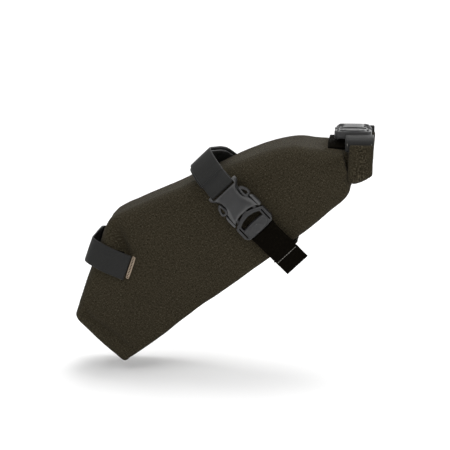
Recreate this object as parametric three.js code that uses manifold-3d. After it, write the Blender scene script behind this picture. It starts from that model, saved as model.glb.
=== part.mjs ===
// Bicycle saddle bag: a tapered roll-top pouch that hangs from the saddle rails and straps to the seatpost.
// Millimetres, +Z up, +X to the rear of the bicycle, +Y to the far side. The origin is where the saddle
// rails bear in the rail strap's loop. The pouch is drawn level, as u (rearward), y and v (up from its
// base), inside a group that tilts it up at the rear the way it hangs.

import * as THREE from 'three';
import { mergeVertices } from 'three/addons/utils/BufferGeometryUtils.js';
import Module from 'manifold-3d';

const wasm = await Module();
wasm.setup();

// ---------------------------------------------------------------- driving dimensions

const TILT = THREE.MathUtils.degToRad(38.5);      // the pouch's base above level
const GAP = 0.3;                                  // clearance between pieces that touch
const WALL = 2.2;                                 // laminated fabric wall

const WEBBING_WIDTH = 25;
const WEBBING_THICKNESS = 1.6;

const FRONT_SLOPE = Math.atan2(112.6 - 60.5, 74 + 9.6);  // the seatpost panel above the base
const STRAP_U = 176;                              // rail strap's middle at the top of its loop
const STRAP_V = 105.4;                            // underside of the strap's outer layer there
const LINER_DROP = 1.5;                           // the liner's underside, where the rails bear, below that
const RAIL_POINT = new THREE.Vector3(STRAP_U, 0, STRAP_V - LINER_DROP);  // the origin (u, y, v)
const STRAP_SKEW = THREE.MathUtils.degToRad(5.5); // the strap runs down and a little rearward
const BUCKLE_SIDE = 50.2;                         // main buckle's inner face from the middle plane
const BUCKLE_DROP = 30.6;                         // main buckle's upper end below the loop
const LOOP_HALF = 27;                             // half-width of the loop over the saddle rails

const BUCKLE = {
  length: 52,
  height: 9,
  plate: 1.9,
  flangeHalf: 15.6,
  waistHalf: 9.6,
  bodyHalf: 16.4,
  mouth: 34,
  innerHalf: 14.2,
};
const TAIL_END = 127;                             // the tail's free end below the loop
const TAIL_HEM = 14;                              // length of its doubled end

const ROLL = {
  front: 133.4,
  rear: 153.6,
  bottom: -19.6,
  top: 16,
  half: 49,
  thickness: 13,
};
const ROLL_BUCKLE = { x: 136, z: 18.9, half: 26 };
const TAB_X = 141.2;                              // middle of the roll-top's webbing tabs

// ---------------------------------------------------------------- materials

const FABRIC = { color: 0x35312a, roughness: 0.9, metalness: 0 };
const LINING = { color: 0x5a5a58, roughness: 0.85, metalness: 0 };
const BLACK_WEBBING = { color: 0x14130f, roughness: 0.85, metalness: 0 };
const GREY_WEBBING = { color: 0x2e2e2d, roughness: 0.6, metalness: 0 };
const MOULDED = { color: 0x333435, roughness: 0.45, metalness: 0 };
const STIFFENER = { color: 0x2b2b2b, roughness: 0.6, metalness: 0 };
const THREAD = { color: 0xb09a80, roughness: 0.8, metalness: 0 };

// ---------------------------------------------------------------- solids

// A closed surface whose triangles all turn the same way, turned inside out if they face in.
function closed(positions, indices) {
  const corner = (i) => new THREE.Vector3().fromArray(positions, 3 * indices[i]);
  let volume = 0;
  for (let i = 0; i < indices.length; i += 3) {
    volume += corner(i).dot(corner(i + 1).cross(corner(i + 2)));
  }
  if (volume < 0) indices.reverse();
  const geometry = new THREE.BufferGeometry();
  geometry.setAttribute('position', new THREE.Float32BufferAttribute(positions, 3));
  geometry.setIndex(indices);
  return geometry;
}

// A solid between two grids of points, outer[i][j] and inner[i][j], with its four edges walled.
function slab(outer, inner) {
  const rows = outer.length;
  const columns = outer[0].length;
  const positions = [];
  for (const grid of [outer, inner]) {
    for (const row of grid) {
      for (const point of row) positions.push(point.x, point.y, point.z);
    }
  }
  const at = (side, i, j) => side * rows * columns + i * columns + j;
  const indices = [];
  const quad = (a, b, c, d) => indices.push(a, b, c, a, c, d);
  for (let i = 0; i < rows - 1; i++) {
    for (let j = 0; j < columns - 1; j++) {
      quad(at(0, i, j), at(0, i + 1, j), at(0, i + 1, j + 1), at(0, i, j + 1));
      quad(at(1, i, j), at(1, i, j + 1), at(1, i + 1, j + 1), at(1, i + 1, j));
    }
  }
  for (let i = 0; i < rows - 1; i++) {
    quad(at(0, i, 0), at(1, i, 0), at(1, i + 1, 0), at(0, i + 1, 0));
    const last = columns - 1;
    quad(at(0, i, last), at(0, i + 1, last), at(1, i + 1, last), at(1, i, last));
  }
  for (let j = 0; j < columns - 1; j++) {
    quad(at(0, 0, j), at(0, 0, j + 1), at(1, 0, j + 1), at(1, 0, j));
    quad(at(0, rows - 1, j), at(1, rows - 1, j), at(1, rows - 1, j + 1), at(0, rows - 1, j + 1));
  }
  return closed(positions, indices);
}

// A closed solid through rings of equal count, capped with fans.
function loft(rings) {
  const count = rings[0].length;
  const positions = [];
  const indices = [];
  for (const ring of rings) {
    for (const point of ring) positions.push(point.x, point.y, point.z);
  }
  for (let i = 0; i < rings.length - 1; i++) {
    for (let j = 0; j < count; j++) {
      const next = (j + 1) % count;
      const a = i * count + j;
      const b = i * count + next;
      indices.push(a, a + count, b + count, a, b + count, b);
    }
  }
  const cap = (ring, start, flip) => {
    const middle = new THREE.Vector3();
    for (const point of ring) middle.add(point);
    middle.divideScalar(count);
    const centre = positions.length / 3;
    positions.push(middle.x, middle.y, middle.z);
    for (let j = 0; j < count; j++) {
      const a = start + j;
      const b = start + (j + 1) % count;
      indices.push(...(flip ? [centre, b, a] : [centre, a, b]));
    }
  };
  cap(rings[0], 0, false);
  cap(rings.at(-1), (rings.length - 1) * count, true);
  return closed(positions, indices);
}

// An outline in X and Y, raised from z = low to z = high.
function prism(outline, low, high) {
  const corners = outline.map(([x, y]) => new THREE.Vector2(x, y));
  if (THREE.ShapeUtils.isClockWise(corners)) corners.reverse();
  const shape = new THREE.Shape(corners);
  const geometry = new THREE.ExtrudeGeometry(shape, { depth: high - low, bevelEnabled: false });
  geometry.translate(0, 0, low);
  return geometry;
}

const rectangle = (x0, y0, x1, y1) => [[x0, y0], [x1, y0], [x1, y1], [x0, y1]];

// A strip of the given thickness along a path of (a, b) points, as an outline.
function stripOutline(path, thickness) {
  const side = (sign) => path.map((point, i) => {
    const before = path[Math.max(i - 1, 0)];
    const after = path[Math.min(i + 1, path.length - 1)];
    const along = new THREE.Vector2(after[0] - before[0], after[1] - before[1]).normalize();
    const offset = sign * thickness / 2;
    return [point[0] - along.y * offset, point[1] + along.x * offset];
  });
  return [...side(1), ...side(-1).reverse()];
}

// Rounds each inner corner of a path with a few points on a quadratic curve.
function softened(corners, reach, steps = 4) {
  const points = [corners[0]];
  for (let i = 1; i < corners.length - 1; i++) {
    const corner = new THREE.Vector2(...corners[i]);
    const cut = (other) => {
      const far = new THREE.Vector2(...other);
      const length = Math.min(reach, corner.distanceTo(far) / 2.2);
      return corner.clone().add(far.sub(corner).setLength(length));
    };
    const curve = new THREE.QuadraticBezierCurve(cut(corners[i - 1]), corner, cut(corners[i + 1]));
    for (const point of curve.getPoints(steps)) points.push([point.x, point.y]);
  }
  points.push(corners.at(-1));
  return points;
}

function toManifold(geometry) {
  const plain = geometry.clone();
  plain.deleteAttribute('normal');
  plain.deleteAttribute('uv');
  const merged = mergeVertices(plain, 1e-4);
  return new wasm.Manifold(new wasm.Mesh({
    numProp: 3,
    vertProperties: Float32Array.from(merged.attributes.position.array),
    triVerts: Uint32Array.from(merged.index.array),
  }));
}

function fromManifold(solid) {
  const mesh = solid.getMesh();
  return closed(Array.from(mesh.vertProperties), Array.from(mesh.triVerts));
}

function combined(base, adds, cuts = []) {
  let solid = toManifold(base);
  for (const piece of adds) solid = solid.add(toManifold(piece));
  for (const piece of cuts) solid = solid.subtract(toManifold(piece));
  return fromManifold(solid);
}

function piece(parent, name, geometry, look) {
  const mesh = new THREE.Mesh(geometry, new THREE.MeshStandardMaterial(look));
  mesh.name = name;
  parent.add(mesh);
  return mesh;
}

// ---------------------------------------------------------------- the pouch's outer form

// Each station is a section from a point on the base to a point on the top, with its half-width.
const STATIONS = [
  { base: [-1.5, 4], top: [-11, 55.5], half: 24, crown: 6, hem: 4 },
  { base: [2.5, -1], top: [-7, 62.1], half: 28.5, crown: 8, hem: 4 },
  { base: [22, -1.5], top: [14, 75.2], half: 30, crown: 9, hem: 4 },
  { base: [46, -1.5], top: [40, 91.4], half: 33, crown: 10, hem: 5 },
  { base: [72, -1.5], top: [71, 110.7], half: 36, crown: 11, hem: 5 },
  { base: [84, -1.5], top: [82, 112.6], half: 37, crown: 12, hem: 5 },
  { base: [100, -1.5], top: [96, 110.5], half: 38.5, crown: 17, hem: 5 },
  { base: [124, -1.5], top: [122, 104.5], half: 41, crown: 18, hem: 5 },
  { base: [148, -1.5], top: [148, 98.2], half: 43, crown: 19, hem: 5 },
  { base: [174, -1.5], top: [176, 91], half: 45, crown: 20, hem: 5 },
  { base: [200, -1.5], top: [204, 83.6], half: 47, crown: 20, hem: 7 },
  { base: [222, -1.5], top: [230, 76], half: 48, crown: 20, hem: 8 },
  { base: [240, -1.5], top: [250, 65.5], half: 48, crown: 18, hem: 9 },
  { base: [253, -1], top: [262, 52.5], half: 47, crown: 16, hem: 10 },
  { base: [262, 1.5], top: [274, 40.5], half: 45.5, crown: 13, hem: 10 },
  { base: [266.6, 7], top: [285.3, 30.6], half: 43, crown: 9, hem: 8 },
];
const SIDE_BULGE = 3;

// The outline of a section as a parameter: the base is 0 to 1, then near lower corner, near side,
// near upper corner, top, far upper corner, far side and far lower corner, each one unit long.
function sectionPoint(station, parameter, inset) {
  const s = ((parameter % 8) + 8) % 8;
  const part = Math.floor(s);
  const t = s - part;
  const base = new THREE.Vector3(station.base[0], 0, station.base[1]);
  const up = new THREE.Vector3(station.top[0], 0, station.top[1]).sub(base);
  const height = up.length();
  up.normalize();
  const half = station.half - inset;
  const crown = Math.max(station.crown - inset, 2);
  const hem = Math.max(station.hem - inset, 1.5);
  const low = inset;
  const high = height - inset;
  const bulge = SIDE_BULGE * Math.sin(Math.PI * t);
  const turn = t * Math.PI / 2;
  let across;
  let rise;
  if (part === 0) [across, rise] = [(half - hem) * (1 - 2 * t), low];
  if (part === 1) {
    [across, rise] = [-(half - hem) - hem * Math.sin(turn), low + hem * (1 - Math.cos(turn))];
  }
  if (part === 2) [across, rise] = [-half - bulge, low + hem + (high - low - hem - crown) * t];
  if (part === 3) {
    [across, rise] = [-(half - crown) - crown * Math.cos(turn), high - crown * (1 - Math.sin(turn))];
  }
  if (part === 4) [across, rise] = [-(half - crown) * (1 - 2 * t), high];
  if (part === 5) {
    [across, rise] = [half - crown + crown * Math.sin(turn), high - crown * (1 - Math.cos(turn))];
  }
  if (part === 6) [across, rise] = [half + bulge, high - crown - (high - low - hem - crown) * t];
  if (part === 7) [across, rise] = [half - hem + hem * Math.cos(turn), low + hem * (1 - Math.sin(turn))];
  return base.addScaledVector(up, rise).setY(across);
}

// One cut panel of the pouch between two section parameters.
function pouchPanel(from, to, columns) {
  const grid = (inset) => STATIONS.map((station) => {
    const row = [];
    for (let j = 0; j <= columns; j++) {
      row.push(sectionPoint(station, from + (to - from) * j / columns, inset));
    }
    return row;
  });
  return slab(grid(0), grid(WALL));
}

const object = new THREE.Group();
const pouch = new THREE.Group();
pouch.rotation.y = -TILT;
pouch.position.copy(RAIL_POINT.clone().applyAxisAngle(new THREE.Vector3(0, 1, 0), -TILT).negate());
object.add(pouch);

// The panels meet half-way round each corner, with a hair's breadth between them.
const SEAM = 0.04;
piece(pouch, 'base_panel', pouchPanel(-0.5 + SEAM, 1.5 - SEAM, 8), FABRIC);
piece(pouch, 'near_side_panel', pouchPanel(1.5 + SEAM, 3.5 - SEAM, 12), FABRIC);
piece(pouch, 'top_panel', pouchPanel(3.5 + SEAM, 5.5 - SEAM, 8), FABRIC);
piece(pouch, 'far_side_panel', pouchPanel(5.5 + SEAM, 7.5 - SEAM, 12), FABRIC);

// A plate in the plane of a section, shifted outward along the pouch's axis from one distance to another.
function sectionPlate(station, inset, near, far, rim) {
  const [base, top] = [station.base, station.top];
  const up = new THREE.Vector3(top[0] - base[0], 0, top[1] - base[1]).normalize();
  const forward = new THREE.Vector3(-up.z, 0, up.x);
  const ring = (extra, shift) => {
    const points = [];
    for (let j = 0; j < 32; j++) {
      points.push(sectionPoint(station, j / 4, inset + extra).addScaledVector(forward, shift));
    }
    return points;
  };
  return loft([ring(0, near), ring(0, (near + far) / 2), ring(rim, far)]);
}

piece(pouch, 'nose_panel', sectionPlate(STATIONS[0], 0, GAP, GAP + WALL, 1.4), FABRIC);
piece(pouch, 'nose_stiffener', sectionPlate(STATIONS[0], WALL + 1, -1.8, -GAP, 0.2), STIFFENER);

const BASE_SHEET = {
  outline: [
    [14, -20], [232, -34], [236, -30], [236, 30], [232, 34], [14, 20], [10, 16], [10, -16],
  ],
  level: STATIONS[2].base[1] + WALL + GAP,
  thickness: 1.2,
};
piece(pouch, 'base_stiffener', prism(
  BASE_SHEET.outline, BASE_SHEET.level, BASE_SHEET.level + BASE_SHEET.thickness), STIFFENER);

// ---------------------------------------------------------------- seatpost end

// The front frame lies on the seatpost panel: x up along the panel, z out of it.
const front = new THREE.Group();
front.position.set(40, 0, 91.4);
front.rotation.y = -FRONT_SLOPE;
pouch.add(front);

const PATCH = { low: -52, high: -9, half: 15, thickness: 1 };
const patchOutline = softened([
  [PATCH.low, 0], [PATCH.low, -PATCH.half], [PATCH.high, -PATCH.half],
  [PATCH.high, PATCH.half], [PATCH.low, PATCH.half], [PATCH.low, 1],
], 6);
piece(front, 'seatpost_patch', prism(patchOutline, GAP, GAP + PATCH.thickness), STIFFENER);

// A band of webbing along a path of (y, z) points, its width centred on x = middle.
function bandAcross(path, middle, width = WEBBING_WIDTH, thickness = WEBBING_THICKNESS) {
  const geometry = prism(stripOutline(path, thickness), middle - width / 2, middle + width / 2);
  const axes = new THREE.Matrix4().makeBasis(
    new THREE.Vector3(0, 1, 0), new THREE.Vector3(0, 0, 1), new THREE.Vector3(1, 0, 0));
  return geometry.applyMatrix4(axes);
}

const BAND = { middle: 6, width: 24, hinge: 24 };
const bandPath = softened([[-41, -27.6], [-38.6, -9], [-27, 6.4], [BAND.hinge - 1, 7.4]], 9, 5);
const anchorPath = softened([[BAND.hinge, 7.4], [28, 6.4], [38.2, -9], [40.4, -27.6]], 7, 5);
piece(front, 'nose_band', bandAcross(bandPath, BAND.middle, BAND.width), GREY_WEBBING);
piece(front, 'nose_band_far_end', bandAcross(anchorPath, BAND.middle, BAND.width), GREY_WEBBING);

// A thin four-cornered patch on the near side of the pouch, given as (u, v), standing off by its clearance.
function sidePatch(corners, thickness) {
  const onSide = ([u, v], stand) => {
    const place = ({ base, top }) => base[0] + (top[0] - base[0]) * (v - base[1]) / (top[1] - base[1]);
    let k = 0;
    while (k < STATIONS.length - 2 && place(STATIONS[k + 1]) < u) k += 1;
    const share = (u - place(STATIONS[k])) / (place(STATIONS[k + 1]) - place(STATIONS[k]));
    const at = (station) => {
      const height = station.top[1] - station.base[1];
      const t = (v - station.base[1] - station.hem) / (height - station.hem - station.crown);
      return sectionPoint(station, 2 + THREE.MathUtils.clamp(t, 0.02, 0.98), -stand).y;
    };
    return new THREE.Vector3(u, THREE.MathUtils.lerp(at(STATIONS[k]), at(STATIONS[k + 1]), share), v);
  };
  const steps = 6;
  const grid = (stand) => {
    const rows = [];
    for (let i = 0; i <= steps; i++) {
      const row = [];
      for (let j = 0; j <= steps; j++) {
        const mix = (k) => THREE.MathUtils.lerp(
          THREE.MathUtils.lerp(corners[0][k], corners[1][k], i / steps),
          THREE.MathUtils.lerp(corners[3][k], corners[2][k], i / steps), j / steps);
        row.push(onSide([mix(0), mix(1)], stand));
      }
      rows.push(row);
    }
    return rows;
  };
  return slab(grid(GAP + thickness), grid(GAP));
}

// The hook patch lies under the band's near end, and the bartack just beyond it.
piece(pouch, 'band_hook_patch', sidePatch([[47, 68], [67, 80.5], [61, 90], [41, 77.5]], 0.9),
  BLACK_WEBBING);
piece(pouch, 'band_bartack', sidePatch([[54.6, 61.8], [72, 72.9], [73.1, 71.2], [55.7, 60.1]], 0.7),
  THREAD);

// ---------------------------------------------------------------- buckles

// A side-release buckle in its own frame: x across, y from 0 at the fixed end's flange down to -length
// at the moving end, z from 0 to height. The moving half and its two prongs are separate pieces.
function receiver() {
  const { length, height, plate, flangeHalf, waistHalf, bodyHalf, mouth, innerHalf } = BUCKLE;
  const half = [
    [0, -mouth + 5], [6, -mouth + 4.4], [11, -mouth + 2.4], [14, -mouth], [bodyHalf, -mouth],
    [bodyHalf, -26.5], [15.4, -22.4], [11.6, -18], [waistHalf, -14], [waistHalf + 0.2, -10],
    [12, -5.6], [flangeHalf, -2.4], [flangeHalf, 0], [0, 0],
  ];
  const whole = [...half, ...half.slice(1, -1).map(([x, y]) => [-x, y]).reverse()];
  const cavity = prism(rectangle(-innerHalf, -length, innerHalf, -13.2), plate, height - plate);
  const slot = prism(rectangle(-11.2, -4.8, 11.2, -2.2), -1, height + 1);
  const thumb = prism(rectangle(-waistHalf + 3, -length, waistHalf - 3, -7.4), height - 0.7, height + 1);
  return combined(prism(whole, 0, height), [], [cavity, slot, thumb]);
}

function plugFrame() {
  const { length, height } = BUCKLE;
  const outline = [
    [13.4, -34.7], [16.2, -36], [16.4, -48], [13.5, -51.4], [8, -length],
    [-8, -length], [-13.5, -51.4], [-16.4, -48], [-16.2, -36], [-13.4, -34.7],
    [-2.6, -34.7], [-2.6, -16.5], [0, -14.6], [2.6, -16.5], [2.6, -34.7],
  ];
  const window = [[-11.2, -38.4], [11.2, -38.4], [10.6, -42.6], [5, -44.2], [-5, -44.2], [-10.6, -42.6]];
  const railSlots = [-14.1, 13].map((x) => prism(rectangle(x, -49, x + 1.1, -38), -1, height + 1));
  const tongueTrim = prism(rectangle(-4, -34.5, 4, -14), -1, 2.4);
  const tongueTop = prism(rectangle(-4, -34.5, 4, -14), height - 2.4, height + 1);
  const barSlot = prism(rectangle(-12.7, -49.4, 12.7, -47), -1, 3.4);
  const frame = prism(outline, 0.6, height - 0.9);
  const block = prism([
    [-10.4, -45], [10.4, -45], [11.6, -50], [7, -51.6], [-7, -51.6], [-11.6, -50],
  ], 4, height);
  const cuts = [prism(window, -1, height + 1), ...railSlots, tongueTrim, tongueTop, barSlot];
  return combined(frame, [block], cuts);
}

// One springy arm, side = 1 for the one at +x. Its looped head shows in the window at the waist.
function prong(side) {
  const outline = [
    [8.4, -34.3], [11, -34.3], [11.6, -27], [12.4, -20.5], [15.8, -20.6], [16.5, -18.6],
    [15.6, -16], [13, -14.3], [10.4, -14.5], [9.2, -17], [9, -24],
  ].map(([x, y]) => [side * x, y]);
  const eye = [[12, -19], [14.4, -18.8], [14, -16.8], [12, -16.2]].map(([x, y]) => [side * x, y]);
  return combined(prism(outline, 2.5, BUCKLE.height - 2.5), [], [prism(eye, 0, BUCKLE.height)]);
}

// ---------------------------------------------------------------- main strap

const strap = new THREE.Group();
strap.position.set(STRAP_U, 0, STRAP_V);
strap.rotation.y = -STRAP_SKEW;
pouch.add(strap);

const loopPath = softened([
  [-BUCKLE_SIDE - 4.4, -BUCKLE_DROP + 0.4], [-50.8, -19], [-40, -6.5], [-LOOP_HALF, 1.2],
  [LOOP_HALF, 1.2], [41, -7], [50.2, -21], [51.6, -58],
], 7);
piece(strap, 'rail_strap', bandAcross(loopPath, 0), GREY_WEBBING);
const linerPath = softened([
  [-45.4, -18], [-38.6, -8.8], [-LOOP_HALF + 0.5, -0.7], [LOOP_HALF - 0.5, -0.7], [39.4, -9.4], [45.6, -19],
], 7);
piece(strap, 'rail_strap_liner', bandAcross(linerPath, -3), GREY_WEBBING);
piece(strap, 'strap_anchor_far', bandAcross([[53.2, -47], [53.4, -58], [53.2, -68]], 0, 29, 1.2), FABRIC);

const mainBuckle = new THREE.Group();
mainBuckle.position.set(0, -BUCKLE_SIDE, -BUCKLE_DROP);
mainBuckle.rotation.x = Math.PI / 2;
strap.add(mainBuckle);
piece(mainBuckle, 'main_buckle_socket', receiver(), MOULDED);
piece(mainBuckle, 'main_buckle_plug', plugFrame(), MOULDED);
piece(mainBuckle, 'main_prong_front', prong(-1), MOULDED);
piece(mainBuckle, 'main_prong_rear', prong(1), MOULDED);

const plugEnd = -BUCKLE_DROP - BUCKLE.length;
const lowerPath = softened([[-BUCKLE_SIDE - 1.6, plugEnd - GAP], [-50.2, -98], [-47, -110], [-28, -110.4]], 5);
piece(strap, 'lower_strap', bandAcross(lowerPath, 0), BLACK_WEBBING);
const tailPath = softened([[-BUCKLE_SIDE - 5.4, plugEnd - GAP], [-56.4, -98], [-57.2, -TAIL_END]], 5);
piece(strap, 'strap_tail', bandAcross(tailPath, 0), BLACK_WEBBING);
const hemPath = [[-55.2, -TAIL_END + TAIL_HEM], [-55.3, -TAIL_END]];
piece(strap, 'strap_tail_hem', bandAcross(hemPath, 0), BLACK_WEBBING);
piece(strap, 'strap_anchor_base', bandAcross([[-44.8, -112.6], [-24, -112.6]], 0, 29, 1.2), FABRIC);

// ---------------------------------------------------------------- roll-top closure

// The mouth is rolled up behind the pouch, and its two ends turn up to a buckle that lies across.
function rollSection(x0, z0, x1, z1, radius) {
  const middle = (x0 + x1) / 2;
  return softened([[middle, z0], [x1, z0], [x1, z1], [x0, z1], [x0, z0], [middle - 1, z0]], radius, 5);
}

// Sweeps a rounded section in x and z along y.
function along(section, low, high) {
  const geometry = prism(section, low, high);
  geometry.applyMatrix4(new THREE.Matrix4().makeBasis(
    new THREE.Vector3(1, 0, 0), new THREE.Vector3(0, 0, 1), new THREE.Vector3(0, -1, 0)));
  return geometry;
}

const armInner = ROLL.half - ROLL.thickness;
const middleSection = rollSection(ROLL.front, ROLL.bottom, ROLL.rear, ROLL.bottom + ROLL.thickness, 4.5);
piece(object, 'roll_middle', along(middleSection, -armInner + GAP, armInner - GAP), FABRIC);

// An outline in y and z, carried along x.
function bandSolid(outline, low, high) {
  return prism(outline, low, high).applyMatrix4(new THREE.Matrix4().makeBasis(
    new THREE.Vector3(0, 1, 0), new THREE.Vector3(0, 0, 1), new THREE.Vector3(1, 0, 0)));
}

function rollArm(side) {
  const outer = side * ROLL.half;
  const inner = side * armInner;
  const outline = softened([
    [inner, ROLL.bottom], [outer, ROLL.bottom], [outer, ROLL.top], [inner, ROLL.top],
  ], 7, 5);
  return bandSolid(outline, ROLL.front, ROLL.rear);
}

piece(object, 'roll_arm_near', rollArm(-1), FABRIC);
piece(object, 'roll_arm_far', rollArm(1), FABRIC);

const COLLAR = { low: 131.9, high: 133.1 };
const collarOutline = softened([
  [0, -20.5], [-38, -18.5], [-41, 7], [0, 11.6], [41, 7], [38, -18.5], [1, -20.5],
], 6);
piece(object, 'mouth_collar', bandSolid(collarOutline, COLLAR.low, COLLAR.high), FABRIC);
const LIP_SHEET = { outline: rectangle(-34, -5.8, 34, 4), low: 133.9, high: 135.1 };
piece(object, 'mouth_stiffener', bandSolid(LIP_SHEET.outline, LIP_SHEET.low, LIP_SHEET.high), LINING);

const plugLevel = ROLL_BUCKLE.z + BUCKLE.height / 2;
const tabPath = (side) => softened([
  [side * 42.5, ROLL.top + GAP], [side * 41.4, 20.2], [side * 36.6, plugLevel],
  [side * (ROLL_BUCKLE.half + GAP), plugLevel + 0.2],
], 5);
piece(object, 'roll_tab_near', bandAcross(tabPath(-1), TAB_X), GREY_WEBBING);
piece(object, 'roll_tab_far', bandAcross(tabPath(1), TAB_X), GREY_WEBBING);
const padPath = softened([[-30, 12.5], [-22, 16.6], [22, 16.6], [30, 12.5]], 8);
piece(object, 'closure_pad', bandAcross(padPath, 122.5, 19), BLACK_WEBBING);

const rollBuckle = new THREE.Group();
rollBuckle.position.set(ROLL_BUCKLE.x, ROLL_BUCKLE.half, ROLL_BUCKLE.z);
object.add(rollBuckle);
piece(rollBuckle, 'roll_buckle_socket', receiver(), MOULDED);
piece(rollBuckle, 'roll_buckle_plug', plugFrame(), MOULDED);
piece(rollBuckle, 'roll_prong_front', prong(-1), MOULDED);
piece(rollBuckle, 'roll_prong_rear', prong(1), MOULDED);

export default object;
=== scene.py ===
"""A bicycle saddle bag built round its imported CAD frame: one soft fabric pouch, webbing straps that are
modelled directly, two side-release buckles and a rolled closure, on a plain pale floor."""

import math
from itertools import accumulate

import bmesh
import bpy
from mathutils import Matrix, Vector, noise
from mathutils.bvhtree import BVHTree


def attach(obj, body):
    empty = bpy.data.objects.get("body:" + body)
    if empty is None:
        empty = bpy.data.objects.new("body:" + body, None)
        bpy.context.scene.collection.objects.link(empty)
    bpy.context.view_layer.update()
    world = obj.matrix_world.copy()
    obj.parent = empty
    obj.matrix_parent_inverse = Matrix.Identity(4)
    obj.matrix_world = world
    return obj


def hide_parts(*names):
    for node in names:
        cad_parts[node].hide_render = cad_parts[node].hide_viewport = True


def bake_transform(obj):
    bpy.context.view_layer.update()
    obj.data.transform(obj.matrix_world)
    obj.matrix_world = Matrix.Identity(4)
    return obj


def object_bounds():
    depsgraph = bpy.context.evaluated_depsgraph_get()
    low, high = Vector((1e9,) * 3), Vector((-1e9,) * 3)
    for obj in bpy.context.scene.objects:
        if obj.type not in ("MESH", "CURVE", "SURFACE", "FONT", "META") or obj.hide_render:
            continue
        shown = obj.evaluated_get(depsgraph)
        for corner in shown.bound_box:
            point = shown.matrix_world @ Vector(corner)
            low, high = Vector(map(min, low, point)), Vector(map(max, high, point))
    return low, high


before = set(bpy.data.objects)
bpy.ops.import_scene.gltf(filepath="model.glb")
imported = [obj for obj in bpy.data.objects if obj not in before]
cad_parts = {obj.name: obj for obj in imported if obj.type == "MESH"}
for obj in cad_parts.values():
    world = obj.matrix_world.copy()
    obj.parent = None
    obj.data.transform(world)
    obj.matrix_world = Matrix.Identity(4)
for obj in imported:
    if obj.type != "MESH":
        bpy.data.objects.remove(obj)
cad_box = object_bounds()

MM = 0.001

# ---------------------------------------------------------------- driving dimensions, in millimetres

TILT = math.radians(38.5)               # the hung pouch's slope
STRAP_U, STRAP_V = 176.0, 105.4         # the rail strap's crown, along the pouch and above its base
STRAP_LIFT = 1.5                        # the crown's middle above the row frame's origin
STRAP_SKEW = math.radians(5.5)          # the strap's lean off square to the pouch
BUCKLE_SIDE, BUCKLE_DROP = 50.2, 30.6   # the main buckle, out from the strap's middle and below its crown
FRONT_U, FRONT_V = 40, 91.4             # a point on the front panel, and the panel's slope
FRONT_SLOPE = math.atan2(52.1, 83.6)
WEBBING, WEBBING_THICK = 25.0, 1.7
NOSE_BAND = 24.0
PLUG_END, TAIL_END = -82.6, -127.0      # below the strap's crown
ROLL_FRONT, ROLL_REAR = 133.6, 153.4
ROLL_BOTTOM, ROLL_TOP = -19.4, 15.8
ROLL_HALF, ROLL_THICK = 48.8, 12.6
ROLL_BUCKLE_AT = (134.8, 26, 18.9)
TAB_X = 141.2

# Each local frame, in millimetres, carried to the row frame.
POUCH = Matrix.Rotation(-TILT, 4, "Y") @ Matrix.Translation((-STRAP_U, 0, STRAP_LIFT - STRAP_V))
STRAP = POUCH @ Matrix.Translation((STRAP_U, 0, STRAP_V)) @ Matrix.Rotation(-STRAP_SKEW, 4, "Y")
MAIN_BUCKLE = (STRAP @ Matrix.Translation((0, -BUCKLE_SIDE, -BUCKLE_DROP))
               @ Matrix.Rotation(math.pi / 2, 4, "X"))
ROLL_BUCKLE = Matrix.Translation(ROLL_BUCKLE_AT)
FRONT = POUCH @ Matrix.Translation((FRONT_U, 0, FRONT_V)) @ Matrix.Rotation(-FRONT_SLOPE, 4, "Y")
ROW = Matrix.Identity(4)

# ---------------------------------------------------------------- camera, lights and floor

scene = bpy.context.scene

CAMERA_TARGET = (0.018, 0, -0.066)
LENS = 121
STUDIO_CENTRE = (0.02, 0, -0.06)
# name, place, target, size and power of each area light
LIGHTS = [
    ("top_light", (0.15, 0.25, 1.1), STUDIO_CENTRE, (0.9, 0.7), 8),
    ("key_light", (-0.55, -1.0, 0.75), STUDIO_CENTRE, (0.8, 0.8), 4.6),
    ("fill_light", (0.9, -0.9, 0.25), STUDIO_CENTRE, (0.7, 0.9), 3),
    ("rim_light", (0.6, 0.9, 0.5), STUDIO_CENTRE, (0.5, 0.5), 3.6),
    ("backdrop_light", (0, 1.3, 2.0), (0, 2.7, 0.9), (4, 1.2), 26),
]
WORLD_STRENGTH = 0.72
FLOOR_GAP = 0.012
FLOOR_FRONT, FLOOR_BACK, FLOOR_SIDE = -2.5, 1.4, 4
SWEEP_RADIUS, SWEEP_STEPS, SWEEP_TOP = 1.2, 12, 3.2


def add_object(name, data):
    obj = bpy.data.objects.new(name, data)
    scene.collection.objects.link(obj)
    return obj


def look_at(obj, place, target):
    obj.location = place
    obj.rotation_euler = (Vector(target) - Vector(place)).to_track_quat("-Z", "Y").to_euler()


def add_camera():
    """The photograph's view: a little to the rear of square on, and from a little above."""
    azimuth, elevation, distance = math.radians(6), math.radians(12), 1.4
    target = Vector(CAMERA_TARGET)
    away = Vector((math.sin(azimuth) * math.cos(elevation),
                   -math.cos(azimuth) * math.cos(elevation), math.sin(elevation)))
    data = bpy.data.cameras.new("camera")
    data.lens = LENS
    data.sensor_width = 36
    camera = add_object("camera", data)
    look_at(camera, target + away * distance, target)
    scene.camera = camera


def add_area(name, place, target, size, power):
    data = bpy.data.lights.new(name, "AREA")
    data.shape = "RECTANGLE"
    data.size, data.size_y = size
    data.energy = power
    look_at(add_object(name, data), place, target)


def add_studio():
    for light in LIGHTS:
        add_area(*light)
    world = bpy.data.worlds.new("studio")
    world.use_nodes = True
    background = world.node_tree.nodes["Background"]
    background.inputs["Color"].default_value = (1, 1, 1, 1)
    background.inputs["Strength"].default_value = WORLD_STRENGTH
    scene.world = world
    scene.view_settings.view_transform = "Standard"


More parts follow.
